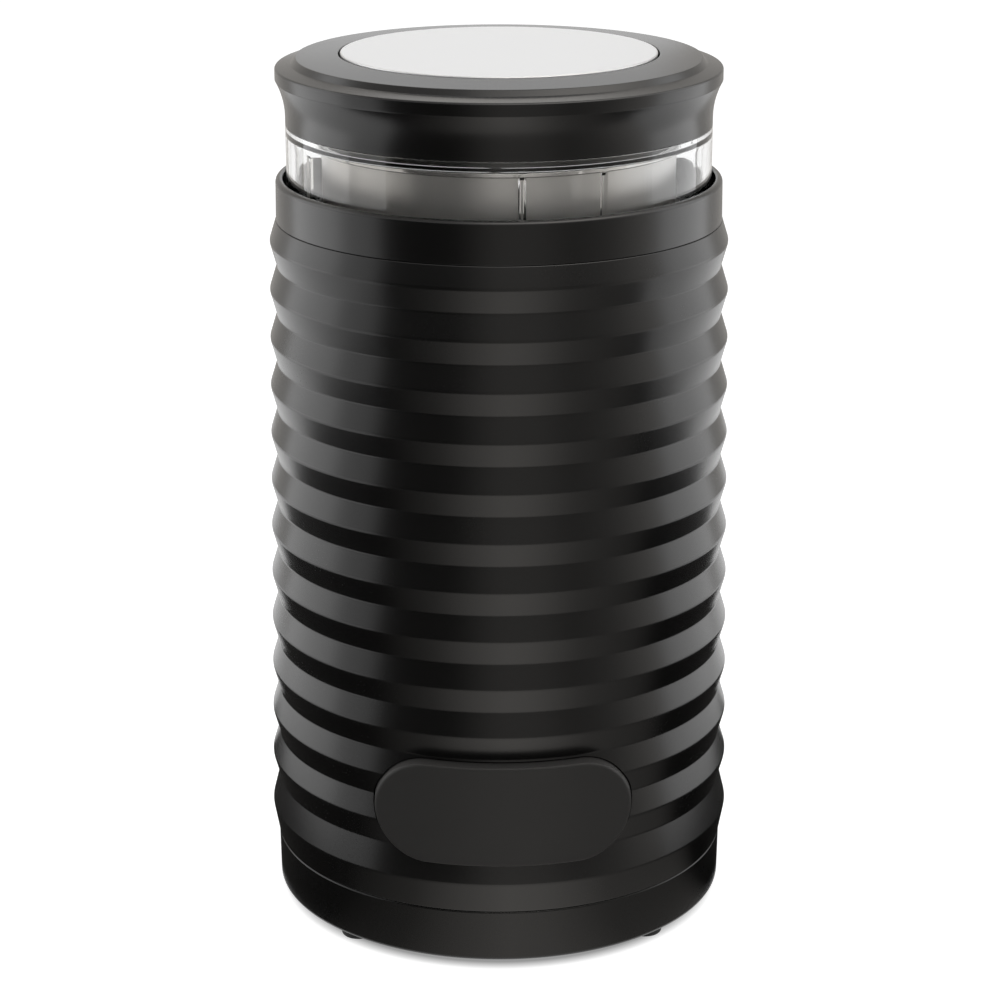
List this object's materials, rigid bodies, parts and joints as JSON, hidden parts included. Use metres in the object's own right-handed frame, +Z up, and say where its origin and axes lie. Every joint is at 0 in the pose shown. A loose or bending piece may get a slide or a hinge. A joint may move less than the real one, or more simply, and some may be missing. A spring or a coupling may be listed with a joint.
{
  "type": "electric blade grinder",
  "caption": "Upright electric blade grinder for coffee and spices: ribbed black housing, plain collar, clear lid with a flared black cap and a silver push button.",
  "frame": {"origin": "centre of the body's footprint, on the surface it stands on", "axes": "+Z up along the body's axis, -Y towards the badge, +Y towards the cord inlet"},
  "size_m": [0.099, 0.101, 0.1825],
  "materials": {
    "housing_plastic": "satin moulded black",
    "black_plastic": "satin black",
    "cap_plastic": "satin black",
    "badge_plastic": "smooth black, bare",
    "silver_disc": "silver lacquer, satin",
    "clear_plastic": "clear, polished",
    "bowl_steel": "drawn stainless, satin",
    "blade_steel": "ground stainless",
    "foot_rubber": "matt",
    "gland_rubber": "matt",
    "seal_rubber": "matt grey",
    "zinc_steel": "zinc plated",
    "inner_plastic": "moulded black",
    "bush_plastic": "filled nylon, dark grey",
    "bracket_plastic": "glass-filled nylon, off-white",
    "bearing_bronze": "sintered, oiled",
    "core_steel": "stacked laminations",
    "coil_copper": "enamelled winding wire",
    "commutator_copper": "turned copper",
    "brush_carbon": "pressed carbon",
    "spring_steel": "bright wire and strip",
    "switch_plastic": "phenolic black",
    "switch_button_plastic": "moulded red",
    "rod_plastic": "natural acetal",
    "shaft_steel": "ground",
    "fan_plastic": "natural nylon"
  },
  "bodies": {
    "body": {"base": "black_plastic", "feet": "foot_rubber", "base_screws": "zinc_steel", "cord_gland": "gland_rubber", "housing": "housing_plastic", "badge": "badge_plastic", "collar": "black_plastic", "bowl": "bowl_steel", "bowl_seal": "seal_rubber", "bowl_deck": "inner_plastic", "shaft_bush": "bush_plastic", "bush_nut": "zinc_steel", "lower_bracket": "bracket_plastic", "upper_bracket": "bracket_plastic", "lower_bearing": "bearing_bronze", "upper_bearing": "bearing_bronze", "stator_core": "core_steel", "field_coils": "coil_copper", "motor_bolts": "zinc_steel", "rubber_mounts": "foot_rubber", "mount_screws": "zinc_steel", "brush_holders": "bush_plastic", "carbon_brushes": "brush_carbon", "brush_springs": "spring_steel", "rod_spring": "spring_steel", "microswitch": "switch_plastic"},
    "lid": {"clear_lid": "clear_plastic", "cap_ring": "cap_plastic", "button_spring": "spring_steel"},
    "button": {"button_disc": "silver_disc", "button_carrier": "inner_plastic", "push_rod": "rod_plastic"},
    "rotor": {"shaft": "shaft_steel", "armature_core": "core_steel", "armature_windings": "coil_copper", "commutator": "commutator_copper", "fan": "fan_plastic", "blade": "blade_steel", "blade_nut": "blade_steel"},
    "switch_rod": {"switch_rod": "rod_plastic"},
    "switch_lever": {"switch_lever": "spring_steel"},
    "switch_button": {"switch_button": "switch_button_plastic"}
  },
  "joints": [
    {"name": "lid_lift", "type": "slide", "parent": "body", "child": "lid", "axis": [0, 0, 1], "range_m": [0, 0.06]},
    {"name": "button_press", "type": "slide", "parent": "lid", "child": "button", "axis": [0, 0, -1], "range_m": [0, 0.0022], "stiffness_N_per_m": 1500, "springref_m": -0.002, "deforming": ["button_spring"]},
    {"name": "rod_press", "type": "slide", "parent": "body", "child": "switch_rod", "axis": [0, 0, -1], "range_m": [0, 0.0022], "stiffness_N_per_m": 400, "springref_m": -0.002, "deforming": ["rod_spring"]},
    {"name": "lever_swing", "type": "hinge", "parent": "body", "child": "switch_lever", "pos_m": [-0.0086, 0.0368, 0.1027], "axis": [0, 1, 0], "range_deg": [0, 12]},
    {"name": "switch_press", "type": "slide", "parent": "body", "child": "switch_button", "axis": [0, 0, -1], "range_m": [0, 0.00103]},
    {"name": "blade_spin", "type": "hinge", "parent": "body", "child": "rotor", "pos_m": [0, 0, 0.09], "axis": [0, 0, 1], "continuous": true}
  ],
  "couplings": [
    {"joint": "rod_press", "follows": "button_press", "ratio": 1},
    {"joint": "lever_swing", "follows": "button_press", "rad_per_m": 95},
    {"joint": "switch_press", "follows": "button_press", "ratio": 0.468}
  ]
}
